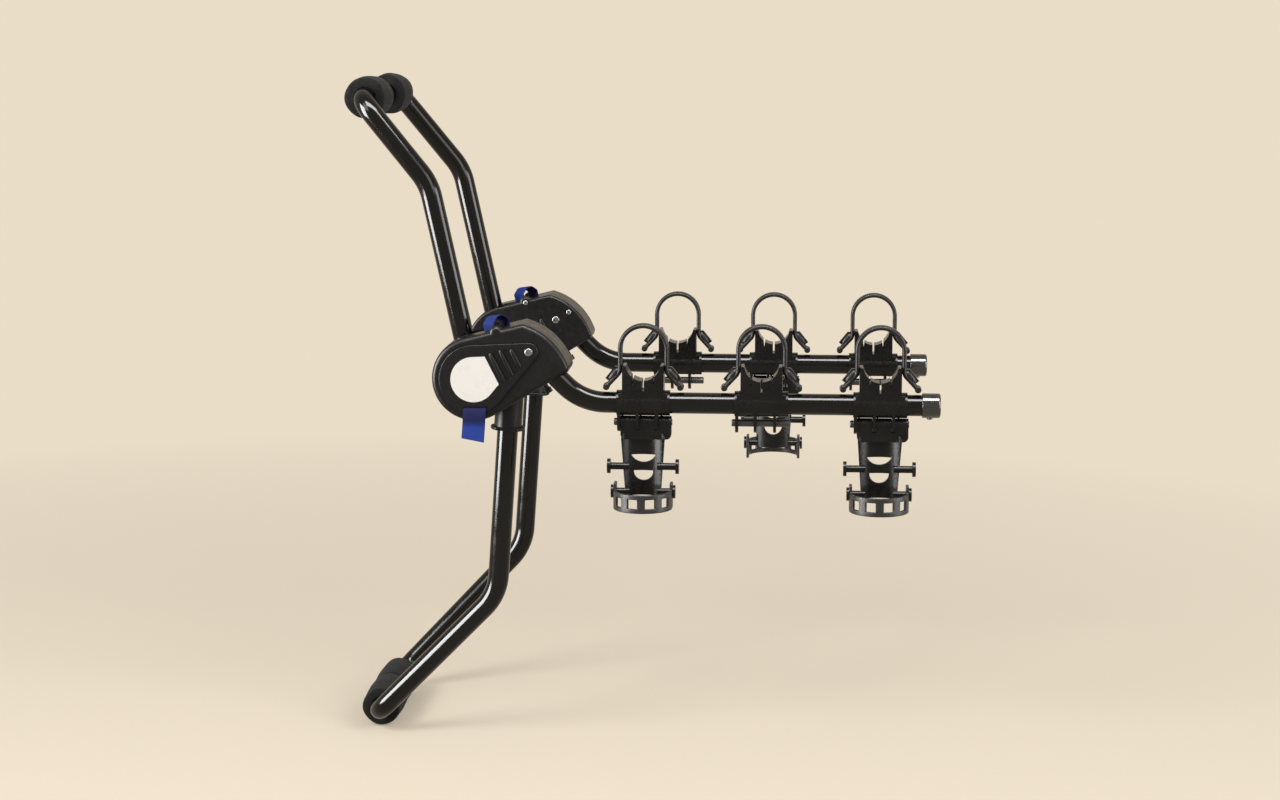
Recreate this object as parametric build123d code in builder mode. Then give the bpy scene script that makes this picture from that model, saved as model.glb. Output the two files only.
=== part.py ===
from build123d import *
import os
from math import asin, atan2, cos, degrees, radians, sin, sqrt, tan

# A trunk mounted rack for three bicycles, in millimetres.
# +X points away from the car, +Y to the right side, +Z up.
# The origin is the middle of the upper padded bar, which rests on the boot lid.
# The left side is built at -Y and the right side is its mirror image.

# Steel tube and the clearances between pieces
tube_diameter = 28.6
tube_wall = 1.6
running_clearance = 0.05
fixed_clearance = 0.02
seat_gap = 0.3
overrun = 6.0

# Hub housings: spacing of their middle planes, and walls across the hub
hub_spacing = 350.0
core_plate_thickness = 3.8
tube_side_clearance = 0.35
hub_side_wall = 3.8
hub_rim_wall = 3.0

# Hub housing in side view, from the middle of its round end
hub_x = 157.5
hub_drop = 373.0
hub_round_radius = 57.0
hub_lower_slope = 31.3
hub_lower_edge = 114.5
hub_upper_slope = 13.9
hub_upper_edge = 82.0
hub_lip_forward = 1.2
hub_lip_rise = 5.0
hub_dome_bulge = 11.0
hub_outer_rounding = 6.5
hub_inner_rounding = 4.5
hub_screw_boss_radius = 9.5
hub_screw_boss_depth = 13.0
hub_screw_boss_along = 45.0
hub_screw_boss_inset = 3.2
hub_nose_screw_forward = 95.0
hub_nose_screw_rise = 49.5
hub_column_radius = 3.5
hub_screw_radius = 2.2
hub_screw_head_radius = 3.6
hub_screw_head_height = 1.4
hub_screw_inset = 1.8

# Openings of the hub housing for the tubes that swing out of it
arm_opening_back = 14.0
frame_opening_forward = 20.0
lower_tube_opening = 66.0

# Raised face panel with the badge pocket and two finger grooves
panel_radius = 46.5
panel_tongue_radius = 12.5
panel_thickness = 3.0
panel_rounding = 1.1
badge_radius = 30.7
badge_cut = 28.5
badge_thickness = 1.0
badge_pocket_depth = 1.2
badge_clearance = 0.15
groove_depth = 1.7
groove_width = 8.5
first_groove_along = 43.5
first_groove_length = 44.0
second_groove_along = 57.0
second_groove_length = 35.0

# Pivots of the hub
upper_pivot_back = 8.5
upper_bolt_radius = 5.0
upper_bolt_head_radius = 9.5
arm_pivot_forward = 75.4
arm_pivot_rise = 37.8
arm_bolt_radius = 4.0
arm_bolt_head_radius = 5.2
bolt_head_height = 2.4
lower_pin_radius = 4.0
lower_pin_head_radius = 6.5
lower_pin_below_end = 14.0

# Upper frame: a U of tube from hub to hub through the upper pads
upper_bend_x = 92.8
upper_bend_drop = 114.0
upper_bend_radius = 80.0
upper_corner_half = 153.0
upper_tube_tail = 15.0
corner_bend_radius = 31.0

# Lower frame: a second U that stands on the bumper
lower_top_x = 201.9
lower_top_drop = 383.0
lower_bend_x = 181.0
lower_bend_drop = 681.0
lower_bend_radius = 75.0
lower_bar_x = 2.0
lower_bar_drop = 867.5
lower_corner_half = 118.0

# Foam pads on the two bars
upper_pad_radius = 29.0
upper_pad_gap = 96.0
lower_pad_radius = 28.0
lower_pad_gap = 1.0
pad_rounding = 3.0
pad_end_clearance = 0.5
pad_bore_clearance = 0.15

# Collar where the lower frame enters the hub
collar_radius = 19.0
collar_flange_radius = 23.5
collar_flange_height = 4.5
collar_bottom_drop = 449.0
collar_rounding = 1.2

# Arms that carry the bicycles
arm_fall = 69.8
arm_fall_angle = 45.0
arm_bend_radius = 80.0
arm_end_x = 781.0
arm_root_tail = 8.0
cap_radius = 16.6
cap_length = 24.5
cap_floor = 3.2
cap_rounding = 2.5
cap_rivet_back = 14.0
cap_rivet_radius = 2.2
cap_rivet_head_radius = 4.2
cap_rivet_head_height = 2.4
cap_rivet_rounding = 0.8

# Release button of each arm, square to the hub's lower edge
button_along = 71.0
button_travel = 6.0
button_shaft_radius = 3.4
button_head_radius = 5.0
button_head_height = 7.0
button_head_lift = 2.0
button_collar_radius = 6.2
button_collar_height = 2.5
button_shaft_depth = 26.0
button_guide_depth = 16.0
button_guide_height = 7.0
button_guide_width = 14.0

# Blue webbing
webbing_width = 25.0
webbing_thickness = 2.0
webbing_loop_along = 44.0
webbing_loop_span = 26.0
webbing_loop_height = 17.0
webbing_loop_leg = 3.0
webbing_loop_turn = 42.0
tail_slot_x = 2.5
tail_slot_drop = 38.0
tail_width = 32.0
tail_end_drop = 82.0
tail_stand_off = 1.2
tail_slot_height = 3.2

# Places of the three cradles along each arm's straight run
cradle_names = ("first", "second", "third")
left_cradle_shares = (0.11268, 0.46986, 0.82703)
right_cradle_shares = (0.17109, 0.49457, 0.82815)

# Cradle: a sleeve on the arm with a saddle for a bicycle tube
sleeve_length = 72.0
sleeve_wall = 2.8
sleeve_rib_height = 0.6
sleeve_rib_width = 2.4
sleeve_rib_shares = (-0.39, -0.05, 0.34)
saddle_half_width = 15.5
saddle_base = 14.0
saddle_base_half = 33.0
seat_radius = 23.4
seat_height = 55.0
ear_half_span = 28.0
ear_height = 52.0
ear_rounding = 1.8
notch_apex_height = 23.5
notch_from_middle = 14.6
notch_half_width = 2.4
slot_width = 2.8
slot_floor_height = 18.0
hook_height = 47.0
hook_thickness = 4.6
hook_width = 6.0
hook_reach = 9.5
hook_run = 12.0
hook_fall = 15.0

# Lugs and closing pin under the sleeve
pin_drop = 26.2
pin_radius = 5.0
pin_back = 40.0
pin_front = 39.0
pin_chamfer = 1.0
lug_radius = 13.0
lug_thickness = 4.0
lug_places = (-33.0, -8.0, 18.0)

# Rubber strap over the saddle
strap_thickness = 6.0
strap_half_width = 8.5
strap_shoulder_height = 76.0
strap_top_height = 107.5
strap_elbow_height = 42.0
strap_tail_x = 50.0
strap_tail_height = 22.0
strap_knob_radius = 4.4
strap_hole_clearance = 0.5

# Anti-sway cradle that hangs from the closing pin
barrel_radius = 8.3
barrel_front = 38.0
barrel_bottom = 49.0
barrel_rounding = 7.0
slot_clearance = 0.4
trough_radius = 38.2
trough_wall = 4.4
trough_centre_out = 34.0
trough_top = 40.0
trough_bottom = 127.0
trough_top_half = 30.0
trough_bottom_half = 24.0
trough_corner_rounding = 7.0
upper_window_drop = 71.0
upper_window_half = 16.5
upper_window_height = 11.0
lower_window_drop = 93.0
lower_window_half = 13.0
lower_window_height = 14.0
peg_radius = 4.8
peg_disc_radius = 10.0
peg_disc_thickness = 4.5
upper_peg_drop = 86.0
upper_peg_out = 7.0
upper_peg_half = 44.0
peg_root_half = 19.0
lower_peg_drop = 121.0
lower_peg_out = 5.0
lower_disc_radius = 9.0
lower_disc_thickness = 3.4

# Ladder belt of the anti-sway cradle
belt_thickness = 4.0
belt_radius = 38.0
belt_bow_start = 12.0
belt_bottom = 143.0
belt_top = 118.0
belt_tab_top = 109.0
belt_tab_inner = 6.0
belt_window_width = 13.0
belt_window_height = 12.5
belt_window_count = 4
belt_window_step = 36.0

# Sizes that follow from the ones above
tube_radius = tube_diameter / 2
hub_middle = hub_spacing / 2
core_inner = hub_middle - core_plate_thickness / 2
core_outer = hub_middle + core_plate_thickness / 2
frame_plane = core_inner - tube_side_clearance - tube_radius
arm_plane = core_outer + tube_side_clearance + tube_radius
cavity_depth = tube_diameter + 2 * tube_side_clearance
cover_depth = cavity_depth + hub_side_wall
inner_face = core_inner - cover_depth
outer_face = core_outer + cover_depth
panel_face = outer_face + panel_thickness
arm_pivot_x = hub_x + arm_pivot_forward
arm_pivot_drop = hub_drop - arm_pivot_rise
arm_drop = arm_pivot_drop + arm_fall
upper_pivot_x = hub_x - upper_pivot_back
panel_axis = atan2(arm_pivot_rise, arm_pivot_forward)
low = radians(hub_lower_slope)
high = radians(hub_upper_slope)
sleeve_radius = tube_radius + running_clearance + sleeve_wall
button_head_start = button_travel + button_head_lift
strap_half_span = ear_half_span + seat_gap + strap_thickness / 2
upper_pad_end = upper_corner_half - corner_bend_radius - pad_end_clearance
lower_pad_end = lower_corner_half - corner_bend_radius - pad_end_clearance

os.makedirs("parts", exist_ok=True)


def keep(piece, name):
    """Label a finished piece and write its STEP file."""
    piece.part.label = name
    export_step(piece.part, f"parts/{name}.step")


def keep_pair(piece, name):
    """Write a left piece and its mirror image for the right side."""
    keep(piece, "left_" + name)
    with BuildPart() as twin:
        mirror(piece.part, about=Plane.XZ)
    keep(twin, "right_" + name)


def across(point):
    """The same point on the other side of the rack."""
    return Vector(point.X, -point.Y, point.Z)


def bent_tube(points, radii):
    """A hollow tube along straight runs joined by tangent bends."""
    with BuildPart() as tube:
        with BuildLine() as path:
            FilletPolyline(*points, radius=radii)
        with BuildSketch(Plane(origin=path.line @ 0, z_dir=path.line % 0)):
            Circle(tube_radius)
            Circle(tube_radius - tube_wall, mode=Mode.SUBTRACT)
        sweep()
    return tube.part


def cross_bore(x, drop, radius):
    """A rod across the whole rack, used to cut bolt holes."""
    with BuildPart() as rod:
        with Locations((x, 0, -drop)):
            Cylinder(radius, 2 * hub_spacing, rotation=(90, 0, 0))
    return rod.part


def hub_plane(depth):
    """Side view plane of the left hub, this far out from the rack's middle."""
    return Plane(origin=(hub_x, -depth, -hub_drop), x_dir=(1, 0, 0), z_dir=(0, -1, 0))


def along_panel(distance):
    """A point on the line from the hub's round end to the arm pivot."""
    return (distance * cos(panel_axis), distance * sin(panel_axis))


hub_low_start = Vector(hub_round_radius * sin(low), -hub_round_radius * cos(low))
hub_heel = hub_low_start + Vector(cos(low), sin(low)) * hub_lower_edge
hub_toe = hub_heel + Vector(hub_lip_forward, hub_lip_rise)
hub_high_start = Vector(-hub_round_radius * sin(high), hub_round_radius * cos(high))
hub_dome_start = hub_high_start + Vector(cos(high), sin(high)) * hub_upper_edge
hub_dome_chord = hub_dome_start - hub_toe
hub_dome_side = Vector(hub_dome_chord.Y, -hub_dome_chord.X).normalized()
hub_dome_crown = (hub_toe + hub_dome_start) / 2 + hub_dome_side * hub_dome_bulge
screw_boss = hub_high_start + Vector(cos(high), sin(high)) * hub_screw_boss_along
screw_boss = screw_boss - Vector(-sin(high), cos(high)) * hub_screw_boss_inset
screw_places = ((screw_boss.X, screw_boss.Y), (hub_nose_screw_forward, hub_nose_screw_rise))


def hub_face(depth, inset=0):
    """Round end, two straight tangent edges and a domed nose, as one face."""
    with BuildSketch(hub_plane(depth)) as outline:
        with BuildLine():
            Line(hub_low_start, hub_heel)
            Line(hub_heel, hub_toe)
            ThreePointArc(hub_toe, hub_dome_crown, hub_dome_start)
            Line(hub_dome_start, hub_high_start)
            ThreePointArc(hub_high_start, (-hub_round_radius, 0), hub_low_start)
        make_face()
        if inset:
            offset(amount=-inset, kind=Kind.INTERSECTION)
    return outline.sketch


def hub_disc(depth, centre, radius):
    """A round face in the hub's side view."""
    with BuildSketch(hub_plane(depth)) as disc:
        with Locations(centre):
            Circle(radius)
    return disc.sketch


def hub_window(depth, left, right, bottom, top):
    """A rectangular face in the hub's side view, used to open the housing."""
    with BuildSketch(hub_plane(depth)) as window:
        with Locations(((left + right) / 2, (bottom + top) / 2)):
            Rectangle(right - left, top - bottom)
    return window.sketch


pivot_place = (arm_pivot_forward, arm_pivot_rise)
upper_place = (-upper_pivot_back, 0)
lower_lean = (lower_top_x - lower_bend_x) / (lower_bend_drop - lower_top_drop)
lower_pin_x = lower_top_x - lower_lean * lower_pin_below_end
lower_pin_drop = lower_top_drop + lower_pin_below_end
lower_pin_place = (lower_pin_x - hub_x, hub_drop - lower_pin_drop)

# Upper frame tube, drilled at both ends for its pivot bolts
upper_pivot = Vector(upper_pivot_x, -frame_plane, -hub_drop)
upper_bend = Vector(upper_bend_x, -frame_plane, -upper_bend_drop)
upper_corner = Vector(0, -upper_corner_half, 0)
upper_tail = upper_pivot + (upper_pivot - upper_bend).normalized() * upper_tube_tail
upper_points = [upper_tail, upper_bend, upper_corner]
upper_points += [across(point) for point in reversed(upper_points)]
upper_radii = [upper_bend_radius, corner_bend_radius, corner_bend_radius, upper_bend_radius]
with BuildPart() as upper_frame_tube:
    add(bent_tube(upper_points, upper_radii))
    add(cross_bore(upper_pivot_x, hub_drop, upper_bolt_radius + running_clearance), mode=Mode.SUBTRACT)
keep(upper_frame_tube, "upper_frame_tube")

# Lower frame tube, pinned into both hubs
lower_top = Vector(lower_top_x, -frame_plane, -lower_top_drop)
lower_bend = Vector(lower_bend_x, -frame_plane, -lower_bend_drop)
lower_corner = Vector(lower_bar_x, -lower_corner_half, -lower_bar_drop)
lower_points = [lower_top, lower_bend, lower_corner]
lower_points += [across(point) for point in reversed(lower_points)]
lower_radii = [lower_bend_radius, corner_bend_radius, corner_bend_radius, lower_bend_radius]
with BuildPart() as lower_frame_tube:
    add(bent_tube(lower_points, lower_radii))
    add(cross_bore(lower_pin_x, lower_pin_drop, lower_pin_radius + fixed_clearance), mode=Mode.SUBTRACT)
keep(lower_frame_tube, "lower_frame_tube")


def pad(x, drop, radius, gap, end):
    """A foam sleeve on a bar, left of the middle, with softened rims."""
    with BuildPart() as sleeve:
        with BuildSketch(Plane(origin=(x, -gap / 2, -drop), x_dir=(1, 0, 0), z_dir=(0, -1, 0))):
            Circle(radius)
            Circle(tube_radius + pad_bore_clearance, mode=Mode.SUBTRACT)
        extrude(amount=end - gap / 2)
        rims = sleeve.edges().filter_by(GeomType.CIRCLE).sort_by(SortBy.RADIUS)[-2:]
        fillet(rims, radius=pad_rounding)
    return sleeve


keep_pair(pad(0, 0, upper_pad_radius, upper_pad_gap, upper_pad_end), "upper_pad")
keep_pair(pad(lower_bar_x, lower_bar_drop, lower_pad_radius, lower_pad_gap, lower_pad_end), "lower_pad")

# Outer cover of the hub: an open bottomed shell that the arm swings out of
with BuildPart() as outer_cover:
    extrude(hub_face(core_outer), amount=cover_depth)
    extrude(hub_disc(outer_face, screw_boss, hub_screw_boss_radius), amount=-hub_screw_boss_depth)
    outer_rim = outer_cover.faces().sort_by(Axis.Y)[0].outer_wire().edges()
    fillet(outer_rim, radius=hub_outer_rounding)
    extrude(hub_face(core_outer, hub_rim_wall), amount=cavity_depth, mode=Mode.SUBTRACT)
    below = -hub_round_radius - overrun
    with BuildSketch(hub_plane(core_outer)):
        with BuildLine():
            Polyline(
                (-arm_opening_back, 0),
                (-arm_opening_back, below),
                (hub_heel.X + overrun, below),
                (hub_heel.X + overrun, hub_heel.Y - hub_rim_wall),
                (hub_heel.X - hub_rim_wall, hub_heel.Y - hub_rim_wall),
                (hub_heel.X - hub_rim_wall, hub_heel.Y + hub_lip_rise),
                (-arm_opening_back, 0),
            )
        make_face()
    extrude(amount=cavity_depth, mode=Mode.SUBTRACT)
    for place in screw_places:
        extrude(hub_disc(core_outer, place, hub_column_radius), amount=cavity_depth)
        screw_depth = cavity_depth - hub_screw_inset
        bore = hub_screw_radius + fixed_clearance
        extrude(hub_disc(core_outer, place, bore), amount=screw_depth, mode=Mode.SUBTRACT)
    bore = arm_bolt_radius + fixed_clearance
    extrude(hub_disc(core_outer, pivot_place, bore), amount=cover_depth, mode=Mode.SUBTRACT)
keep_pair(outer_cover, "hub_outer_cover")

# Inner cover: open on the car side, where the upper frame folds
with BuildPart() as inner_cover:
    extrude(hub_face(core_inner), amount=-cover_depth)
    extrude(hub_disc(inner_face, screw_boss, hub_screw_boss_radius), amount=hub_screw_boss_depth)
    inner_rim = inner_cover.faces().sort_by(Axis.Y)[-1].outer_wire().edges()
    fillet(inner_rim, radius=hub_inner_rounding)
    extrude(hub_face(core_inner, hub_rim_wall), amount=-cavity_depth, mode=Mode.SUBTRACT)
    far = hub_round_radius + hub_upper_edge
    frame_window = hub_window(core_inner, -far, frame_opening_forward, -far, far)
    extrude(frame_window, amount=-cavity_depth, mode=Mode.SUBTRACT)
    tube_window = hub_window(core_inner, -far, lower_tube_opening, -far, 0)
    extrude(tube_window, amount=-cavity_depth, mode=Mode.SUBTRACT)
    for place in screw_places:
        extrude(hub_disc(core_inner, place, hub_column_radius), amount=-cavity_depth)
    bores = [(place, hub_screw_radius) for place in screw_places]
    bores += [(upper_place, upper_bolt_radius), (pivot_place, arm_bolt_radius)]
    bores += [(lower_pin_place, lower_pin_radius)]
    for place, radius in bores:
        bore = hub_disc(core_inner, place, radius + fixed_clearance)
        extrude(bore, amount=-cover_depth, mode=Mode.SUBTRACT)

# Frame of the release button: square to the hub's lower edge, pointing out of the hub
button_foot = hub_low_start + Vector(cos(low), sin(low)) * button_along
button_seat = Vector(hub_x + button_foot.X, -frame_plane, button_foot.Y - hub_drop)
button_out = Vector(sin(low), 0, -cos(low))


def button_plane(distance):
    """A plane across the button's axis, this far out from the hub's edge."""
    return Plane(origin=button_seat + button_out * distance, x_dir=(0, 1, 0), z_dir=button_out)


with BuildPart() as inner_cover_with_guide:
    add(inner_cover.part)
    guide_side = frame_plane - inner_face - hub_side_wall
    with BuildSketch(button_plane(-button_guide_depth)):
        with Locations(((guide_side - button_guide_height) / 2, 0)):
            Rectangle(guide_side + button_guide_height, button_guide_width)
    extrude(amount=-button_guide_height)
    with BuildSketch(button_plane(overrun)):
        Circle(button_shaft_radius + running_clearance)
    extrude(amount=-button_guide_depth - button_guide_height - 2 * overrun, mode=Mode.SUBTRACT)
keep_pair(inner_cover_with_guide, "hub_inner_cover")

with BuildPart() as release_button:
    with BuildSketch(button_plane(-button_shaft_depth)):
        Circle(button_shaft_radius)
    extrude(amount=button_shaft_depth + button_head_start)
    with BuildSketch(button_plane(button_head_start)):
        Circle(button_head_radius)
    extrude(amount=button_head_height)
    with BuildSketch(button_plane(-hub_rim_wall - seat_gap)):
        Circle(button_collar_radius)
    extrude(amount=-button_collar_height)
keep_pair(release_button, "arm_release_button")

# Steel core plate between the two covers
with BuildPart() as core_plate:
    extrude(hub_face(core_inner), amount=core_plate_thickness)
    bores = [(place, hub_screw_radius) for place in screw_places]
    bores += [(upper_place, upper_bolt_radius), (pivot_place, arm_bolt_radius)]
    bores += [(lower_pin_place, lower_pin_radius)]
    for place, radius in bores:
        bore = hub_disc(core_inner, place, radius + fixed_clearance)
        extrude(bore, amount=core_plate_thickness, mode=Mode.SUBTRACT)
keep_pair(core_plate, "hub_core_plate")


def panel_face_sketch(depth, round_radius, tongue_radius):
    """Hull of the hub's round end and a smaller circle about the arm pivot."""
    with BuildSketch(hub_plane(depth)) as leaf:
        with BuildLine(mode=Mode.PRIVATE) as rims:
            CenterArc((0, 0), round_radius, 0, 360)
            CenterArc(pivot_place, tongue_radius, 0, 360)
        make_hull(rims.edges())
    return leaf.sketch


def badge_face(depth, clearance=0):
    """The panel's own outline drawn smaller and cut off square to its axis."""
    reach = sqrt(arm_pivot_forward**2 + arm_pivot_rise**2)
    narrowing = (panel_radius - panel_tongue_radius) / reach
    radius = badge_radius + clearance
    cut = badge_cut + clearance
    half_cut = (radius - cut * narrowing) / cos(asin(narrowing))
    turn = asin(narrowing)
    with BuildSketch(hub_plane(depth)) as badge_outline:
        with BuildLine(Plane(origin=(0, 0, 0), x_dir=(cos(panel_axis), sin(panel_axis), 0))):
            upper = (radius * sin(turn), radius * cos(turn))
            lower = (radius * sin(turn), -radius * cos(turn))
            Line(upper, (cut, half_cut))
            Line((cut, half_cut), (cut, -half_cut))
            Line((cut, -half_cut), lower)
            ThreePointArc(lower, (-radius, 0), upper)
        make_face()
    return badge_outline.sketch


def tail_slot_face(depth):
    """The slot that the webbing tail hangs out of."""
    with BuildSketch(hub_plane(depth)) as slot:
        with Locations((tail_slot_x, -tail_slot_drop)):
            Rectangle(tail_width + 2 * seat_gap, tail_slot_height)
    return slot.sketch


# Raised face panel, with the badge pocket and the finger grooves
with BuildPart() as face_panel:
    extrude(panel_face_sketch(outer_face, panel_radius, panel_tongue_radius), amount=panel_thickness)
    fillet(face_panel.faces().sort_by(Axis.Y)[0].outer_wire().edges(), radius=panel_rounding)
    pocket_floor = panel_face - badge_pocket_depth
    extrude(badge_face(pocket_floor, badge_clearance), amount=overrun, mode=Mode.SUBTRACT)
    grooves = ((first_groove_along, first_groove_length), (second_groove_along, second_groove_length))
    for distance, length in grooves:
        with BuildSketch(hub_plane(panel_face - groove_depth)):
            with Locations(Location((*along_panel(distance), 0), (0, 0, degrees(panel_axis) + 90))):
                SlotOverall(length, groove_width)
        extrude(amount=overrun, mode=Mode.SUBTRACT)
    bore = hub_disc(outer_face, pivot_place, arm_bolt_radius + fixed_clearance)
    extrude(bore, amount=panel_thickness, mode=Mode.SUBTRACT)
    extrude(tail_slot_face(outer_face), amount=panel_thickness, mode=Mode.SUBTRACT)
keep_pair(face_panel, "hub_face_panel")

with BuildPart() as badge:
    extrude(badge_face(panel_face - badge_pocket_depth), amount=badge_thickness)
keep_pair(badge, "hub_badge")

# Bolts, pins and screws of both hubs, each kind as one group
with BuildPart() as upper_pivot_bolts:
    extrude(hub_disc(inner_face, upper_place, upper_bolt_radius), amount=core_outer - inner_face)
    extrude(hub_disc(inner_face, upper_place, upper_bolt_head_radius), amount=-bolt_head_height)
    extrude(hub_disc(core_outer, upper_place, upper_bolt_head_radius), amount=bolt_head_height)
    mirror(about=Plane.XZ)
keep(upper_pivot_bolts, "upper_pivot_bolts")

with BuildPart() as arm_pivot_bolts:
    extrude(hub_disc(inner_face, pivot_place, arm_bolt_radius), amount=panel_face - inner_face)
    extrude(hub_disc(inner_face, pivot_place, arm_bolt_head_radius), amount=-bolt_head_height / 2)
    extrude(hub_disc(panel_face, pivot_place, arm_bolt_head_radius), amount=bolt_head_height / 2)
    mirror(about=Plane.XZ)
keep(arm_pivot_bolts, "arm_pivot_bolts")

with BuildPart() as lower_frame_pins:
    extrude(hub_disc(inner_face, lower_pin_place, lower_pin_radius), amount=core_outer - inner_face)
    extrude(hub_disc(inner_face, lower_pin_place, lower_pin_head_radius), amount=-bolt_head_height)
    mirror(about=Plane.XZ)
keep(lower_frame_pins, "lower_frame_pins")

with BuildPart() as cover_screws:
    screw_length = 2 * cover_depth + core_plate_thickness - hub_side_wall - 2 * hub_screw_inset
    for place in screw_places:
        extrude(hub_disc(inner_face, place, hub_screw_radius), amount=screw_length)
        extrude(hub_disc(inner_face, place, hub_screw_head_radius), amount=-hub_screw_head_height)
    mirror(about=Plane.XZ)
keep(cover_screws, "cover_screws")

# Collar on the lower frame, cut to the underside of the hub and flat beside the arm
with BuildPart() as collar:
    lower_run = (lower_bend - lower_top).normalized()
    collar_foot = lower_top + lower_run * ((collar_bottom_drop - lower_top_drop) / -lower_run.Z)
    with BuildSketch(Plane(origin=collar_foot, x_dir=(0, 1, 0), z_dir=-lower_run)):
        Circle(collar_flange_radius)
    extrude(amount=collar_flange_height)
    fillet(collar.edges().filter_by(GeomType.CIRCLE), radius=collar_rounding)
    with BuildSketch(Plane(origin=collar_foot, x_dir=(0, 1, 0), z_dir=-lower_run)):
        Circle(collar_radius)
    extrude(amount=collar_bottom_drop - hub_drop)
    around_hub = hub_face(inner_face - overrun)
    extrude(around_hub, amount=panel_face - inner_face + 2 * overrun, mode=Mode.SUBTRACT)
    with BuildSketch(Plane(origin=collar_foot + lower_run * overrun, z_dir=-lower_run)):
        Circle(tube_radius + fixed_clearance)
    extrude(amount=collar_bottom_drop - hub_drop + 2 * overrun, mode=Mode.SUBTRACT)
    with BuildSketch(Plane.XY.offset(-collar_bottom_drop - overrun)):
        with Locations((collar_foot.X, -core_outer - collar_flange_radius)):
            Rectangle(4 * collar_flange_radius, 2 * collar_flange_radius)
    extrude(amount=hub_drop, mode=Mode.SUBTRACT)
keep_pair(collar, "lower_collar")

# Arms: from the pivot in the hub down a short fall, then straight out
arm_pivot = Vector(arm_pivot_x, -arm_plane, -arm_pivot_drop)
fall = radians(arm_fall_angle)
fall_length = arm_fall / sin(fall)
arm_down = Vector(cos(fall), 0, -sin(fall))
arm_corner = arm_pivot + arm_down * fall_length
arm_root = arm_pivot - arm_down * arm_root_tail
arm_end = Vector(arm_end_x, -arm_plane, -arm_drop)
rivet_x = arm_end_x + cap_floor - cap_rivet_back


def rivet_rod(radius, top, bottom):
    """A rod that points straight down under the end of the arm."""
    with BuildPart() as rod:
        with BuildSketch(Plane.XY.offset(-arm_drop - bottom)):
            with Locations((rivet_x, -arm_plane)):
                Circle(radius)
        extrude(amount=bottom - top)
    return rod.part


rivet_top = tube_radius - 2 * tube_wall
with BuildPart() as arm_tube:
    add(bent_tube([arm_root, arm_corner, arm_end], arm_bend_radius))
    pivot_bore = cross_bore(arm_pivot_x, arm_pivot_drop, arm_bolt_radius + running_clearance)
    add(pivot_bore, mode=Mode.SUBTRACT)
    rivet_bore = rivet_rod(cap_rivet_radius + fixed_clearance, 0, cap_radius)
    add(rivet_bore, mode=Mode.SUBTRACT)
keep_pair(arm_tube, "arm_tube")

with BuildPart() as arm_cap:
    cap_end = arm_end_x + cap_floor + fixed_clearance
    with BuildSketch(Plane(origin=(cap_end, -arm_plane, -arm_drop), x_dir=(0, 1, 0), z_dir=(-1, 0, 0))):
        Circle(cap_radius)
    extrude(amount=cap_length)
    fillet(arm_cap.faces().sort_by(Axis.X)[-1].edges(), radius=cap_rounding)
    with BuildSketch(Plane(origin=(arm_end_x + fixed_clearance, -arm_plane, -arm_drop),
                           x_dir=(0, 1, 0), z_dir=(-1, 0, 0))):
        Circle(tube_radius + fixed_clearance)
    extrude(amount=cap_length, mode=Mode.SUBTRACT)
    add(rivet_rod(cap_rivet_radius + fixed_clearance, 0, cap_radius), mode=Mode.SUBTRACT)
keep_pair(arm_cap, "arm_end_cap")

with BuildPart() as cap_rivet:
    add(rivet_rod(cap_rivet_radius, rivet_top, cap_radius + cap_rivet_head_height))
    add(rivet_rod(cap_rivet_head_radius, cap_radius, cap_radius + cap_rivet_head_height))
    fillet(cap_rivet.faces().sort_by(Axis.Z)[0].edges(), radius=cap_rivet_rounding)
keep_pair(cap_rivet, "arm_cap_rivet")

# Webbing loop that lies over the top edge of the hub
loop_middle = hub_high_start + Vector(cos(high), sin(high)) * webbing_loop_along
edge_normal = Vector(-sin(high), 0, cos(high))
loop_side = Vector(cos(high), 0, sin(high)).rotate(Axis((0, 0, 0), edge_normal), webbing_loop_turn)
for side, hand in ((-1, "left"), (1, "right")):
    loop_plane = Plane(
        origin=(hub_x + loop_middle.X, side * hub_middle, loop_middle.Y - hub_drop),
        x_dir=loop_side,
        z_dir=loop_side.cross(edge_normal),
    )
    with BuildPart() as webbing_loop:
        with BuildSketch(loop_plane):
            with BuildLine():
                half_span = webbing_loop_span / 2
                crest = (0, webbing_loop_height - webbing_thickness)
                Line((-half_span, 0), (-half_span, webbing_loop_leg))
                ThreePointArc((-half_span, webbing_loop_leg), crest, (half_span, webbing_loop_leg))
                Line((half_span, webbing_loop_leg), (half_span, 0))
                offset(amount=webbing_thickness, side=Side.LEFT)
            make_face()
        extrude(amount=webbing_width / 2, both=True)
    keep(webbing_loop, hand + "_webbing_loop")

# Webbing tail that hangs out of the slot in the face panel
with BuildPart() as webbing_tail:
    tail_plane = Plane(origin=(hub_x + tail_slot_x, 0, -hub_drop), x_dir=(0, -1, 0), z_dir=(-1, 0, 0))
    tail_out = panel_face + tail_stand_off
    tail_root_drop = tail_slot_drop + webbing_thickness / 2
    with BuildSketch(tail_plane):
        with BuildLine():
            Polyline(
                (outer_face, -tail_root_drop),
                (tail_out, -tail_root_drop),
                (tail_out, -tail_end_drop),
            )
            offset(amount=webbing_thickness, side=Side.LEFT)
        make_face()
    extrude(amount=tail_width / 2, both=True)
keep_pair(webbing_tail, "webbing_tail")


def stroke(points, thickness):
    """A run of straight lines drawn as a band of one thickness, in the XZ plane."""
    with BuildSketch(Plane.XZ) as band:
        with BuildLine():
            Polyline(*points)
        trace(line_width=thickness)
    return band.sketch


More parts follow.
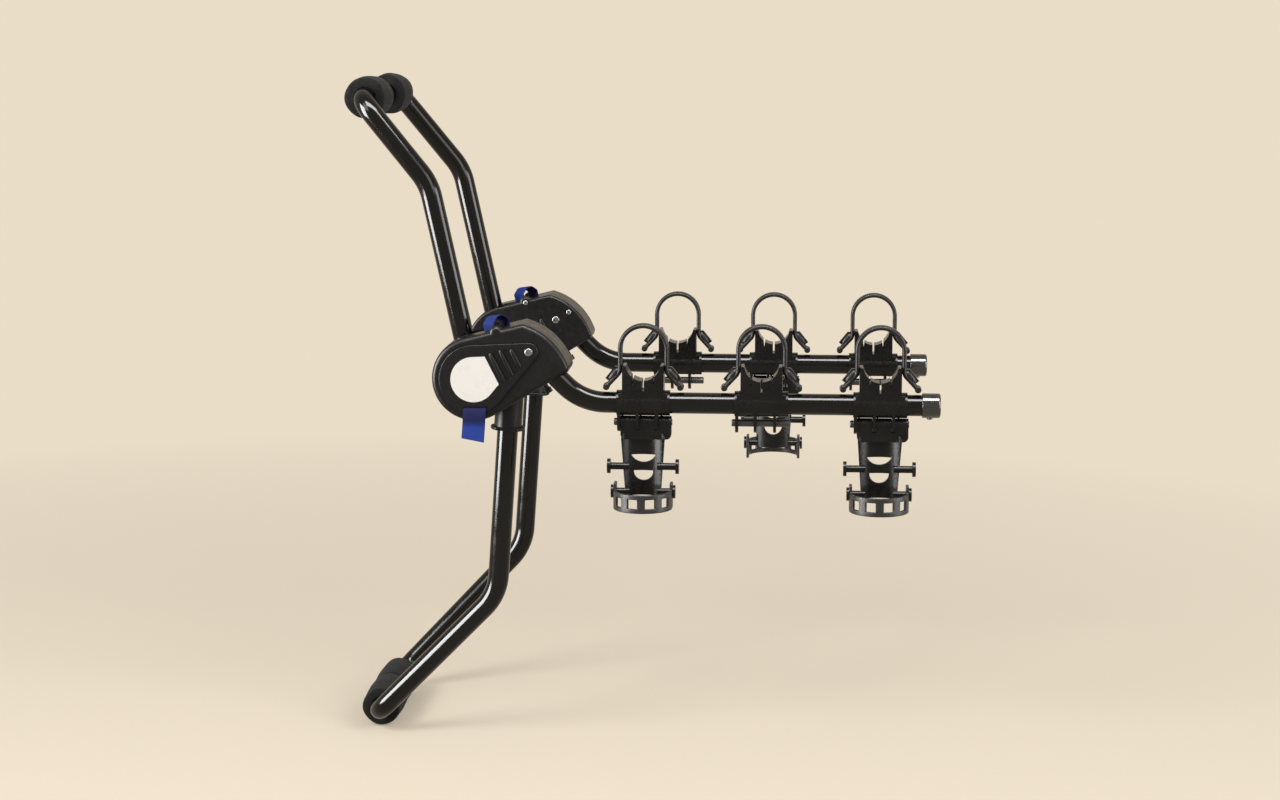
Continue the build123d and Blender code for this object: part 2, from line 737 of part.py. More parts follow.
# One cradle, built with the arm's axis along X through the origin
with BuildPart() as cradle:
    with BuildSketch(Plane.YZ.offset(-sleeve_length / 2)):
        Circle(sleeve_radius)
    extrude(amount=sleeve_length)
    for share in sleeve_rib_shares:
        with BuildSketch(Plane.YZ.offset(share * sleeve_length - sleeve_rib_width / 2)):
            Circle(sleeve_radius + sleeve_rib_height)
        extrude(amount=sleeve_rib_width)
    with BuildSketch(Plane.XZ) as saddle:
        with Locations((0, saddle_base / 2)):
            Rectangle(2 * saddle_base_half, saddle_base)
        with Locations((0, ear_height / 2)):
            Rectangle(2 * ear_half_span, ear_height)
        with Locations((0, seat_height)):
            Circle(seat_radius, mode=Mode.SUBTRACT)
        for side in (-1, 1):
            with BuildLine():
                Polyline(
                    (side * notch_from_middle, notch_apex_height),
                    (side * (notch_from_middle + notch_half_width), seat_height),
                    (side * (notch_from_middle - 2 * notch_half_width), seat_height),
                    (side * notch_from_middle, notch_apex_height),
                )
            make_face(mode=Mode.SUBTRACT)
        with Locations((0, (slot_floor_height + seat_height) / 2)):
            Rectangle(slot_width, seat_height - slot_floor_height, mode=Mode.SUBTRACT)
        fillet(saddle.vertices().group_by(Axis.Y)[-1], radius=ear_rounding)
    extrude(amount=saddle_half_width, both=True)
    for place in lug_places:
        with BuildSketch(Plane.YZ.offset(place - lug_thickness / 2)):
            with Locations((0, -pin_drop)):
                Circle(lug_radius)
            with Locations((0, -pin_drop / 2)):
                Rectangle(2 * lug_radius, pin_drop)
        extrude(amount=lug_thickness)
    for side in (-1, 1):
        bend_x = side * (ear_half_span + hook_reach)
        points = [
            (side * (ear_half_span - hook_thickness / 2), hook_height),
            (bend_x, hook_height),
            (bend_x + side * hook_run, hook_height - hook_fall),
        ]
        extrude(stroke(points, hook_thickness), amount=hook_width / 2, both=True)
    with BuildSketch(Plane.YZ.offset(-sleeve_length)):
        Circle(tube_radius + running_clearance)
        with Locations((0, -pin_drop)):
            Circle(pin_radius + running_clearance)
    extrude(amount=2 * sleeve_length, mode=Mode.SUBTRACT)

with BuildPart() as cradle_pin:
    with BuildSketch(Plane.YZ.offset(-pin_back)):
        with Locations((0, -pin_drop)):
            Circle(pin_radius)
    extrude(amount=pin_back + pin_front)
    chamfer(cradle_pin.edges().filter_by(GeomType.CIRCLE), length=pin_chamfer)

# Rubber strap: an arch with a pull tail and knob at each end
with BuildPart() as cradle_strap:
    crest = strap_top_height - strap_thickness / 2
    with BuildSketch(Plane.XZ):
        for side in (-1, 1):
            with BuildLine():
                Polyline(
                    (side * strap_tail_x, strap_tail_height),
                    (side * strap_half_span, strap_elbow_height),
                    (side * strap_half_span, strap_shoulder_height),
                )
            trace(line_width=strap_thickness)
            with Locations((side * strap_tail_x, strap_tail_height)):
                Circle(strap_knob_radius)
            with Locations((side * strap_half_span, strap_elbow_height)):
                Circle(strap_thickness / 2)
        with BuildLine():
            ThreePointArc(
                (-strap_half_span, strap_shoulder_height),
                (0, crest),
                (strap_half_span, strap_shoulder_height),
            )
        trace(line_width=strap_thickness)
    extrude(amount=strap_half_width, both=True)
    with Locations((0, 0, hook_height)):
        gap = 2 * strap_hole_clearance
        span = 2 * (strap_half_span + strap_thickness)
        Box(span, hook_width + gap, hook_thickness + gap, mode=Mode.SUBTRACT)

# Anti-sway cradle for the left side: its trough opens away from the rack
with BuildPart() as trough:
    with BuildSketch(Plane.XY.offset(-trough_bottom)):
        with Locations((0, -trough_centre_out)):
            Circle(trough_radius + trough_wall / 2)
            Circle(trough_radius - trough_wall / 2, mode=Mode.SUBTRACT)
    extrude(amount=trough_bottom - trough_top)
    with BuildSketch(Plane.XZ):
        with BuildLine():
            Polyline(
                (-trough_top_half, -trough_top),
                (trough_top_half, -trough_top),
                (trough_bottom_half, -trough_bottom),
                (-trough_bottom_half, -trough_bottom),
                close=True,
            )
        outline = make_face()
        fillet(outline.vertices().group_by(Axis.Z)[0], radius=trough_corner_rounding)
        windows = (
            (upper_window_drop, upper_window_half, upper_window_height),
            (lower_window_drop, lower_window_half, lower_window_height),
        )
        for drop, half, height in windows:
            with BuildLine():
                Line((-half, -drop), (half, -drop))
                ThreePointArc((half, -drop), (0, -drop - height), (-half, -drop))
            make_face(mode=Mode.SUBTRACT)
    extrude(amount=-trough_radius, mode=Mode.INTERSECT, both=True)

with BuildPart() as antisway:
    barrel_back = lug_places[0] + lug_thickness / 2 + seat_gap
    with BuildSketch(Plane.YZ.offset(barrel_back)):
        with Locations((0, -pin_drop)):
            Circle(barrel_radius)
        with Locations((0, -(pin_drop + barrel_bottom) / 2)):
            Rectangle(2 * barrel_radius, barrel_bottom - pin_drop)
    extrude(amount=barrel_front - barrel_back)
    feet = antisway.faces().sort_by(Axis.Z)[0].edges().filter_by(Axis.Y)
    fillet(feet, radius=barrel_rounding)
    add(trough.part)
    for side in (-1, 1):
        for drop, out, tip, disc, thick in (
            (upper_peg_drop, upper_peg_out, upper_peg_half, peg_disc_radius, peg_disc_thickness),
            (lower_peg_drop, lower_peg_out, belt_radius + belt_thickness / 2 + seat_gap,
             lower_disc_radius, lower_disc_thickness),
        ):
            with BuildSketch(Plane.YZ.offset(side * peg_root_half)):
                with Locations((-out, -drop)):
                    Circle(peg_radius)
            extrude(amount=side * (tip - peg_root_half))
            with BuildSketch(Plane.YZ.offset(side * tip)):
                with Locations((-out, -drop)):
                    Circle(disc)
            extrude(amount=side * thick)
    for place in lug_places[1:]:
        with BuildSketch(Plane.YZ.offset(place - lug_thickness / 2 - slot_clearance)):
            with Locations((0, -pin_drop)):
                Circle(lug_radius + slot_clearance)
        extrude(amount=lug_thickness + 2 * slot_clearance, mode=Mode.SUBTRACT)
    with BuildSketch(Plane.YZ.offset(-sleeve_length)):
        with Locations((0, -pin_drop)):
            Circle(pin_radius + running_clearance)
    extrude(amount=2 * sleeve_length, mode=Mode.SUBTRACT)

# Ladder belt: a bow of rubber with windows, hooked on the lower pegs
with BuildPart() as belt:
    with BuildSketch(Plane.XY.offset(-belt_bottom)):
        with BuildLine():
            Line((-belt_radius, belt_tab_inner), (-belt_radius, -belt_bow_start))
            ThreePointArc(
                (-belt_radius, -belt_bow_start),
                (0, -belt_bow_start - belt_radius),
                (belt_radius, -belt_bow_start),
            )
            Line((belt_radius, -belt_bow_start), (belt_radius, belt_tab_inner))
        trace(line_width=belt_thickness)
    extrude(amount=belt_bottom - belt_top)
    with BuildSketch(Plane.XY.offset(-belt_top)):
        for side in (-1, 1):
            with Locations((side * belt_radius, (belt_tab_inner - belt_bow_start) / 2)):
                Rectangle(belt_thickness, belt_tab_inner + belt_bow_start)
    extrude(amount=belt_top - belt_tab_top)
    with Locations((0, -belt_bow_start, -(belt_top + belt_bottom) / 2)):
        span = belt_window_step * (belt_window_count - 1)
        with PolarLocations(belt_radius, belt_window_count, -90 - span / 2, span, endpoint=True):
            Box(2 * belt_thickness, belt_window_width, belt_window_height, mode=Mode.SUBTRACT)
    with BuildSketch(Plane.YZ.offset(-2 * belt_radius)):
        with Locations((-lower_peg_out, -lower_peg_drop)):
            Circle(peg_radius + fixed_clearance)
    extrude(amount=4 * belt_radius, mode=Mode.SUBTRACT)


def place_copy(piece, x, side, name, turned=False):
    """Write a copy of a cradle piece at its place along the left or right arm."""
    with BuildPart() as copy:
        with Locations((x, side * arm_plane, -arm_drop)):
            if turned:
                add(mirror(piece.part, about=Plane.XZ, mode=Mode.PRIVATE))
            else:
                add(piece.part)
    keep(copy, name)


antisway_places = (("left", 0), ("right", 1), ("left", 2))
run_start = arm_corner.X + arm_bend_radius * tan(fall / 2)
for hand, side, shares in (("left", -1, left_cradle_shares), ("right", 1, right_cradle_shares)):
    for order, share in enumerate(shares):
        x = run_start + share * (arm_end_x - run_start)
        stem = f"{hand}_{cradle_names[order]}_"
        place_copy(cradle, x, side, stem + "cradle_body")
        place_copy(cradle_pin, x, side, stem + "cradle_pin")
        place_copy(cradle_strap, x, side, stem + "cradle_strap")
        if (hand, order) in antisway_places:
            place_copy(antisway, x, side, stem + "antisway_cradle", turned=side > 0)
            place_copy(belt, x, side, stem + "antisway_belt", turned=side > 0)
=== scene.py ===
from math import pi, radians

import bmesh
import bpy
import numpy as np
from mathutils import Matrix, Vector


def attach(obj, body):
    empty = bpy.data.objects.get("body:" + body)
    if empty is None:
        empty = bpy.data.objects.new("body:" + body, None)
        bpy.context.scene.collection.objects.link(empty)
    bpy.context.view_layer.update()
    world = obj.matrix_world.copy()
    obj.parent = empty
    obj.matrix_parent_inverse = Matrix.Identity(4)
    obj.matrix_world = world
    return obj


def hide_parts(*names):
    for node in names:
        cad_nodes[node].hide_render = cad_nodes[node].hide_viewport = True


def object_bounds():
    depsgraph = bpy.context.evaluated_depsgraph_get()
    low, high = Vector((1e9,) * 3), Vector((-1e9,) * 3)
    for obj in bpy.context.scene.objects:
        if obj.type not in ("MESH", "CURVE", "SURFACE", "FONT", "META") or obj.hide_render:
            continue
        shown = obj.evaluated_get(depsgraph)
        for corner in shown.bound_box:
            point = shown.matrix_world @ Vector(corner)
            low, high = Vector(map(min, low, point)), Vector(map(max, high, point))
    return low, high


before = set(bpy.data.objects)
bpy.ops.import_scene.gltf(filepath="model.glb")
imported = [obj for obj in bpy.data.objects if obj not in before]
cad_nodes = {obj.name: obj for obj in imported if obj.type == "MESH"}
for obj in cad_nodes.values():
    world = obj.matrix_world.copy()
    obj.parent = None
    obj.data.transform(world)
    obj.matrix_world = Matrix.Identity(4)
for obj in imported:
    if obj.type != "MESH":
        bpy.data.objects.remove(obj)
cad_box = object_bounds()

# Frame tubes: two U-shaped bends of 28.6 mm steel tube, one up to the boot lid and
# one down to the bumper. They are mandrel bent, then powder coated gloss black, so
# each carries a long sharp highlight and a thin dust in the coat.
mm = 0.001
tube_radius = 14.3
tube_wall = 1.6
frame_plane = 158.45
upper_bend, lower_bend, bar_bend = 80, 75, 31
lower_bar_x, lower_bar_z = 2, -867.5
tube_sides = 48


def rounded_path(corners, radii, steps=14):
    """Straight runs joined by tangent arcs, in any number of dimensions.

    At a corner that turns by an angle a, an arc of radius r starts r*tan(a/2) before
    the corner. Its points are start + r*sin(t)*incoming + r*(1 - cos(t))*inward for t
    from 0 to a, where inward is square to the incoming run.
    """
    corners = np.asarray(corners, float)
    rows = [corners[:1]]
    for before, corner, after, radius in zip(corners, corners[1:], corners[2:], radii):
        incoming = (corner - before) / np.linalg.norm(corner - before)
        leaving = (after - corner) / np.linalg.norm(after - corner)
        turn = np.arccos(np.clip(incoming @ leaving, -1, 1))
        inward = leaving - incoming * (incoming @ leaving)
        inward /= np.linalg.norm(inward)
        start = corner - incoming * radius * np.tan(turn / 2)
        t = np.linspace(0, turn, steps)[:, None]
        rows.append(start + radius * np.sin(t) * incoming + radius * (1 - np.cos(t)) * inward)
    rows.append(corners[-1:])
    return np.concatenate(rows)


def grid_faces(rows, columns, close_rows=False, close_columns=False):
    """Quads between neighbours of a rows x columns grid, wrapped round where asked."""
    i, j = np.meshgrid(
        np.arange(rows if close_rows else rows - 1),
        np.arange(columns if close_columns else columns - 1),
        indexing="ij",
    )
    below, beside = (i + 1) % rows, (j + 1) % columns
    corners = (i * columns + j, i * columns + beside, below * columns + beside, below * columns + j)
    return np.stack(corners, -1).reshape(-1, 4)


def make_piece(name, grids, body, material, replaced=(), sharp=35, attribute=None):
    """Joins grids of points in mm into one mesh piece that rides on a body.

    Each grid is (points, quads). Doubled points at seams and poles are merged and the
    faces are turned outwards. Edges sharper than the given angle stay crisp.
    """
    points, quads, offset = [], [], 0
    for grid_points, grid_quads in grids:
        flat = np.asarray(grid_points, float).reshape(-1, 3)
        points.append(flat * mm)
        quads.append(grid_quads + offset)
        offset += len(flat)
    mesh = bpy.data.meshes.new(name)
    mesh.from_pydata(np.concatenate(points), [], np.concatenate(quads))
    if attribute is not None:
        layer = mesh.attributes.new("cloth", "FLOAT_VECTOR", "POINT")
        layer.data.foreach_set("vector", np.asarray(attribute, np.float32).reshape(-1))
    work = bmesh.new()
    work.from_mesh(mesh)
    bmesh.ops.remove_doubles(work, verts=work.verts, dist=0.002 * mm)
    bmesh.ops.recalc_face_normals(work, faces=work.faces)
    work.to_mesh(mesh)
    work.free()
    mesh.shade_smooth()
    mesh.set_sharp_from_angle(angle=radians(sharp))
    mesh.materials.append(material)
    piece = bpy.data.objects.new(name, mesh)
    bpy.context.scene.collection.objects.link(piece)
    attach(piece, body)
    if replaced:
        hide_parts(*replaced)
    return piece


def swept_tube(path, radius, wall, reference):
    """A hollow round tube along a path, as one closed grid.

    A ring at a path point p is p + r*(cos(a)*side + sin(a)*up), where side is square to
    the path and the reference. The rings run out along the outer wall, then back along
    the inner wall, and the last joins the first.
    """
    tangent = np.gradient(path, axis=0)
    tangent /= np.linalg.norm(tangent, axis=1)[:, None]
    side = np.cross(tangent, reference)
    side /= np.linalg.norm(side, axis=1)[:, None]
    up = np.cross(side, tangent)
    a = np.linspace(0, 2 * pi, tube_sides, endpoint=False)[None, :, None]
    ring = np.cos(a) * side[:, None] + np.sin(a) * up[:, None]
    outer = path[:, None] + radius * ring
    inner = (path[:, None] + (radius - wall) * ring)[::-1]
    points = np.concatenate([outer, inner])
    return points, grid_faces(len(points), tube_sides, True, True)


def finish_of(name, colour, roughness, specular=0.5):
    """A new material, its node tree, its shader and its object coordinates."""
    material = bpy.data.materials.new(name)
    material.use_nodes = True
    tree = material.node_tree
    shader = tree.nodes["Principled BSDF"]
    shader.inputs["Base Color"].default_value = (*colour, 1)
    shader.inputs["Roughness"].default_value = roughness
    shader.inputs["Specular IOR Level"].default_value = specular
    place = tree.nodes.new("ShaderNodeTexCoord").outputs["Object"]
    return material, tree, shader, place


def noise_of(tree, place, scale, detail=3.0):
    """Cloudy noise from 0 to 1, with this many waves to the metre."""
    noise = tree.nodes.new("ShaderNodeTexNoise")
    noise.inputs["Scale"].default_value = scale
    noise.inputs["Detail"].default_value = detail
    tree.links.new(place, noise.inputs["Vector"])
    return noise.outputs["Fac"]


def spread(tree, value, socket, low, high, start=0.35, end=0.65):
    """Feeds a socket with values from low to high as the input goes from start to end."""
    ramp = tree.nodes.new("ShaderNodeMapRange")
    ramp.inputs["From Min"].default_value = start
    ramp.inputs["From Max"].default_value = end
    ramp.inputs["To Min"].default_value = low
    ramp.inputs["To Max"].default_value = high
    tree.links.new(value, ramp.inputs["Value"])
    tree.links.new(ramp.outputs["Result"], socket)


def tint(tree, value, socket, dark, light, start=0.3, end=0.7):
    """Feeds a colour socket with a blend from dark to light."""
    ramp = tree.nodes.new("ShaderNodeValToRGB")
    ramp.color_ramp.elements[0].position = start
    ramp.color_ramp.elements[0].color = (*dark, 1)
    ramp.color_ramp.elements[1].position = end
    ramp.color_ramp.elements[1].color = (*light, 1)
    tree.links.new(value, ramp.inputs["Fac"])
    tree.links.new(ramp.outputs["Color"], socket)


def raised(tree, value, shader, strength, height):
    """Turns a value into a bump of this height in metres on the shader's normal."""
    bump = tree.nodes.new("ShaderNodeBump")
    bump.inputs["Strength"].default_value = strength
    bump.inputs["Distance"].default_value = height
    tree.links.new(value, bump.inputs["Height"])
    tree.links.new(bump.outputs["Normal"], shader.inputs["Normal"])


tube_coat, tree, shader, place = finish_of("gloss_black_coat", (0.004, 0.004, 0.0045), 0.12, 0.2)
clouds = noise_of(tree, place, 9)
tint(tree, clouds, shader.inputs["Base Color"], (0.003, 0.003, 0.0035), (0.006, 0.006, 0.0065))
spread(tree, noise_of(tree, place, 60, 6), shader.inputs["Roughness"], 0.09, 0.15)
raised(tree, noise_of(tree, place, 300, 2), shader, 0.03, 0.0001)


def mirrored(points):
    """The points, then the same points on the other side in reverse order."""
    points = np.asarray(points, float)
    return np.concatenate([points, points[::-1] * (1, -1, 1)])


upper_line = mirrored([(152.2, -frame_plane, -387.7), (92.8, -frame_plane, -114), (0, -153, 0)])
lower_line = mirrored([
    (201.9, -frame_plane, -383), (181, -frame_plane, -681), (lower_bar_x, -118, lower_bar_z),
])
upper_path = rounded_path(upper_line, (upper_bend, bar_bend, bar_bend, upper_bend))
lower_path = rounded_path(lower_line, (lower_bend, bar_bend, bar_bend, lower_bend))
make_piece(
    "upper_frame", [swept_tube(upper_path, tube_radius, tube_wall, (1, 0, 0))],
    "upper_frame", tube_coat, ["upper_frame_tube"],
)
make_piece(
    "lower_frame", [swept_tube(lower_path, tube_radius, tube_wall, (1, 0, 0))],
    "rack_frame", tube_coat, ["lower_frame_tube"],
)

# Foam pads: thick closed-cell foam sleeves pushed over the two bars, where the rack
# touches the car. They are skived flat at the ends, a little crowned between them,
# and matt with a fine cell structure.
pad_sides = 72
pad_crown, pad_rim, pad_dent = 1.2, 4.0, 0.25
pad_bore = tube_radius + 0.1


def turned(profile, centre, axis, side, sides=pad_sides, closed=True):
    """A profile of (along, radius) pairs turned about an axis.

    A point is centre + along*axis + radius*(cos(a)*side + sin(a)*up), where up is
    square to the axis and the side. A closed profile joins its last pair to its first.
    """
    profile = np.asarray(profile, float)
    axis, side = np.asarray(axis, float), np.asarray(side, float)
    a = np.linspace(0, 2 * pi, sides, endpoint=False)[None, :, None]
    ring = np.cos(a) * side + np.sin(a) * np.cross(axis, side)
    points = np.asarray(centre, float) + profile[:, :1, None] * axis + profile[:, 1:, None] * ring
    return points, grid_faces(len(points), sides, closed, True)


foam, tree, shader, place = finish_of("pad_foam", (0.006, 0.006, 0.006), 0.9, 0.1)
clouds = noise_of(tree, place, 40, 5)
tint(tree, clouds, shader.inputs["Base Color"], (0.004, 0.004, 0.004), (0.009, 0.009, 0.009))
spread(tree, noise_of(tree, place, 300, 4), shader.inputs["Roughness"], 0.8, 1.0)
cells = tree.nodes.new("ShaderNodeTexVoronoi")
cells.inputs["Scale"].default_value = 900
tree.links.new(place, cells.inputs["Vector"])
raised(tree, cells.outputs["Distance"], shader, 0.55, 0.0006)
shader.inputs["Sheen Weight"].default_value = 0.05
shader.inputs["Sheen Roughness"].default_value = 0.5


def foam_pad(name, body, x, z, radius, inner_end, outer_end, side):
    """A foam sleeve with a crowned outer line between round rims, and soft dents.

    A point moves out by d*(sin(3a + 1.7*side)*sin(2b) + sin(5a + b)), where d is the
    dents' depth, a the angle round the bar and b the way round the profile.
    """
    middle, shoulder = (inner_end + outer_end) / 2, radius - pad_crown
    corners = [
        (middle, pad_bore), (inner_end, pad_bore), (inner_end, shoulder),
        (middle, radius + pad_crown / 3),
        (outer_end, shoulder), (outer_end, pad_bore), (middle, pad_bore),
    ]
    profile = rounded_path(corners, (1.5, pad_rim, 160, pad_rim, 1.5), 10)
    points, quads = turned(profile[:-1], (x, 0, z), (0, side, 0), (1, 0, 0))
    b, a = np.meshgrid(
        np.linspace(0, 2 * pi, len(profile) - 1), np.linspace(0, 2 * pi, pad_sides), indexing="ij",
    )
    dent = pad_dent * (np.sin(3 * a + 1.7 * side) * np.sin(2 * b) + np.sin(5 * a + b))
    outward = points - np.array((x, 0, z))
    outward[..., 1] = 0
    points = points + outward / np.linalg.norm(outward, axis=-1)[..., None] * dent[..., None]
    pad = make_piece(name + "_foam", [(points, quads)], body, foam, [name])


for hand, side in (("left", -1), ("right", 1)):
    foam_pad(hand + "_upper_pad", "upper_frame", 0, 0, 29.0, 48.0, 121.5, side)
    foam_pad(hand + "_lower_pad", "rack_frame", lower_bar_x, lower_bar_z, 28.0, 0.6, 86.5, side)

# Hub housings: an outer and an inner shell of glass-filled nylon, screwed together
# over a steel core plate. The mould leaves soft radii at every edge and a fine
# satin grain. Three moulded ribs stand on each face panel, and three shorter ones on
# the hub's inner face.
hub_plastic, tree, shader, place = finish_of("satin_nylon", (0.006, 0.006, 0.007), 0.37, 0.15)
clouds = noise_of(tree, place, 14, 4)
tint(tree, clouds, shader.inputs["Base Color"], (0.004, 0.004, 0.005), (0.008, 0.008, 0.009))
spread(tree, noise_of(tree, place, 150, 5), shader.inputs["Roughness"], 0.34, 0.41)
raised(tree, noise_of(tree, place, 900, 2), shader, 0.02, 0.0001)
weld_reach, rounded_above = 0.005, 38


def dress(node, material, edge=0.4):
    """Gives a CAD node its finish, and softens its sharp edges with a small round."""
    piece = cad_nodes[node]
    piece.data.materials.clear()
    piece.data.materials.append(material)
    piece.data.shade_smooth()
    merge = piece.modifiers.new("merge", "WELD")
    merge.merge_threshold = weld_reach * mm
    if edge:
        soften = piece.modifiers.new("soften", "BEVEL")
        soften.width = edge * mm
        soften.segments = 2
        soften.limit_method = "ANGLE"
        soften.angle_limit = radians(rounded_above)
        soften.miter_outer = "MITER_ARC"
    even = piece.modifiers.new("even", "WEIGHTED_NORMAL")
    even.weight = 50


core_steel, tree, shader, place = finish_of("coated_core_steel", (0.02, 0.02, 0.022), 0.35, 0.5)
spread(tree, noise_of(tree, place, 90, 4), shader.inputs["Roughness"], 0.28, 0.45)

show_edge = 0.9
for hand in ("left", "right"):
    dress(hand + "_hub_outer_cover", hub_plastic, show_edge)
    dress(hand + "_hub_inner_cover", hub_plastic)
    dress(hand + "_hub_face_panel", hub_plastic, show_edge)
    dress(hand + "_hub_core_plate", core_steel, 0.3)
    dress(hand + "_lower_collar", hub_plastic)


def pebble(centre, along, across, up):
    """A lump with the given centre and three half axes, a little squarer than an egg.

    A point is centre + c(v)*c(u)*along + c(v)*s(u)*across + s(v)*up, where c and s are
    the cosine and sine, each raised to the power 0.8 with its sign kept.
    """
    rows, sides = 17, 32
    u = np.linspace(0, 2 * pi, sides, endpoint=False)[None, :, None]
    v = np.linspace(-pi / 2, pi / 2, rows)[:, None, None]
    turns = (np.cos(u), np.sin(u), np.cos(v), np.sin(v))
    cu, su, cv, sv = (np.sign(w) * np.abs(w) ** 0.8 for w in turns)
    along, across, up = (np.asarray(w, float) for w in (along, across, up))
    points = centre + cv * cu * along + cv * su * across + sv * up
    return points, grid_faces(rows, sides, False, True)


# Each rib is (distance ahead of the badge's middle, half length, half width).
badge_x, badge_z = 157.5, -373
panel_turn = radians(26.6)
rib_sizes = ((36.4, 22.0, 3.2), (50.3, 20.0, 2.9), (64.4, 14.5, 3.2))
outer_rib_face, outer_rib_height = 212.8, 2.6
inner_rib_face, inner_rib_height, inner_rib_share = 140.2, 2.4, 0.8
ahead = np.array((np.cos(panel_turn), 0, np.sin(panel_turn)))
slant = np.array((-np.sin(panel_turn), 0, np.cos(panel_turn)))
for hand, side in (("left", -1), ("right", 1)):
    ribs = []
    for distance, half_length, half_width in rib_sizes:
        centre = np.array((badge_x, side * outer_rib_face, badge_z)) + distance * ahead
        rise = (0, outer_rib_height * side, 0)
        ribs.append(pebble(centre, half_length * slant, half_width * ahead, rise))
        centre = centre * (1, 0, 1) + (0, side * inner_rib_face, 0)
        rise = (0, -inner_rib_height * side, 0)
        ribs.append(pebble(centre, inner_rib_share * half_length * slant, half_width * ahead, rise))
    make_piece(hand + "_panel_ribs", ribs, "rack_frame", hub_plastic)

# Badges: a thin white plate pressed into the pocket of each face panel. It is left
# bare here, with only its moulded gloss and a slightly rounded rim.
badge_white, tree, shader, place = finish_of("white_gloss_plate", (0.78, 0.78, 0.77), 0.28, 0.5)
clouds = noise_of(tree, place, 12, 2)
tint(tree, clouds, shader.inputs["Base Color"], (0.815, 0.815, 0.805), (0.835, 0.835, 0.825))
spread(tree, noise_of(tree, place, 60, 2), shader.inputs["Roughness"], 0.26, 0.32)
for hand in ("left", "right"):
    dress(hand + "_hub_badge", badge_white, 0.25)

# Bolts, pins and cover screws: dull zinc plated steel. The heads are domed, with a
# round socket in the middle, and they hold the arms and the frames in the hubs.
zinc, tree, shader, place = finish_of("dull_zinc", (0.18, 0.18, 0.19), 0.3, 0.5)
shader.inputs["Metallic"].default_value = 0.9
clouds = noise_of(tree, place, 120, 4)
tint(tree, clouds, shader.inputs["Base Color"], (0.12, 0.12, 0.125), (0.24, 0.24, 0.245))
spread(tree, noise_of(tree, place, 700, 3), shader.inputs["Roughness"], 0.22, 0.42)
inner_face, core_outer, panel_face = 140.0, 176.9, 213.0
screw_end = core_outer + 27.5
head_shoulder, socket_floor = 0.35, 0.35


def bolt(x, z, radius, heads, shank_start, shank_end, side):
    """A shank with a domed socket head at each given (place, direction, radius, height).

    In shares of the head's height and radius, its line stands straight up to 0.35, then
    rounds over as (0.35 + 0.65*sin(t), 0.62 + 0.38*cos(t)) for t from 0 to a quarter
    turn, and dips into a socket of 0.46 of the radius.
    """
    shank = [(shank_start, 0), (shank_start, radius), (shank_end, radius), (shank_end, 0)]
    grids = [turned(shank, (x, 0, z), (0, side, 0), (1, 0, 0), 32, False)]
    for start, direction, head, height in heads:
        t = np.linspace(0, 1, 8) * pi / 2
        arc = np.stack([head_shoulder + 0.65 * np.sin(t), 0.62 + 0.38 * np.cos(t)], 1)
        line = [
            (0, 0), (0, 1), (head_shoulder, 1), *arc[1:-1], (1, 0.6),
            (1, 0.46), (socket_floor, 0.43), (socket_floor, 0),
        ]
        line = np.asarray(line) * (height * direction, head) + (start, 0)
        grids.append(turned(line, (x, 0, z), (0, side, 0), (1, 0, 0), 36, False))
    return grids


# Each fixing is (x, z, shank radius) and each head (radius, height).
upper_bolt, upper_head = (149.0, -373.0, 5), (9.5, 2.4)
arm_bolt, arm_head = (232.9, -335.2, 4), (5.2, 1.2)
frame_pin, pin_head = (200.9, -397.0, 4), (6.5, 2.4)
screws, screw_head = ((188.26, -309.97, 2.2), (252.5, -323.5, 2.2)), (3.6, 1.4)
fixings = {
    "upper_pivot_bolts": [], "arm_pivot_bolts": [], "lower_frame_pins": [], "cover_screws": [],
}
for side in (-1, 1):
    heads = [(inner_face, -1, *upper_head), (core_outer, 1, *upper_head)]
    fixings["upper_pivot_bolts"] += bolt(*upper_bolt, heads, inner_face, core_outer, side)
    heads = [(inner_face, -1, *arm_head), (panel_face, 1, *arm_head)]
    fixings["arm_pivot_bolts"] += bolt(*arm_bolt, heads, inner_face, panel_face, side)
    heads = [(inner_face, -1, *pin_head)]
    fixings["lower_frame_pins"] += bolt(*frame_pin, heads, inner_face, core_outer, side)
    for screw in screws:
        heads = [(inner_face, -1, *screw_head)]
        fixings["cover_screws"] += bolt(*screw, heads, inner_face, screw_end, side)
for name, grids in fixings.items():
    make_piece(name + "_plated", grids, "rack_frame", zinc, [name])

# Webbing: woven polyester, royal blue. A short 25 mm pull loop stands over the top of
# each hub and a cut 31 mm tail hangs out of the slot under the badge. Both are flat
# bands with a fine slanting weave, with painted shade darkening them where they come out of the
# hub.
weave_blue, tree, shader, place = finish_of("blue_webbing", (0.015, 0.04, 0.3), 0.8, 0.1)
cloth_layer = tree.nodes.new("ShaderNodeAttribute")
cloth_layer.attribute_name = "cloth"
cloth = cloth_layer.outputs["Vector"]


def waves(tree, place, scale, direction):
    """Even ribs along one direction of the cloth's own coordinates."""
    ribs = tree.nodes.new("ShaderNodeTexWave")
    ribs.bands_direction = direction
    ribs.inputs["Scale"].default_value = scale
    ribs.inputs["Distortion"].default_value = 0.4
    tree.links.new(place, ribs.inputs["Vector"])
    return ribs.outputs["Fac"]


def product(tree, first, second):
    """The product of two values."""
    times = tree.nodes.new("ShaderNodeMath")
    times.operation = "MULTIPLY"
    tree.links.new(first, times.inputs[0])
    tree.links.new(second, times.inputs[1])
    return times.outputs[0]


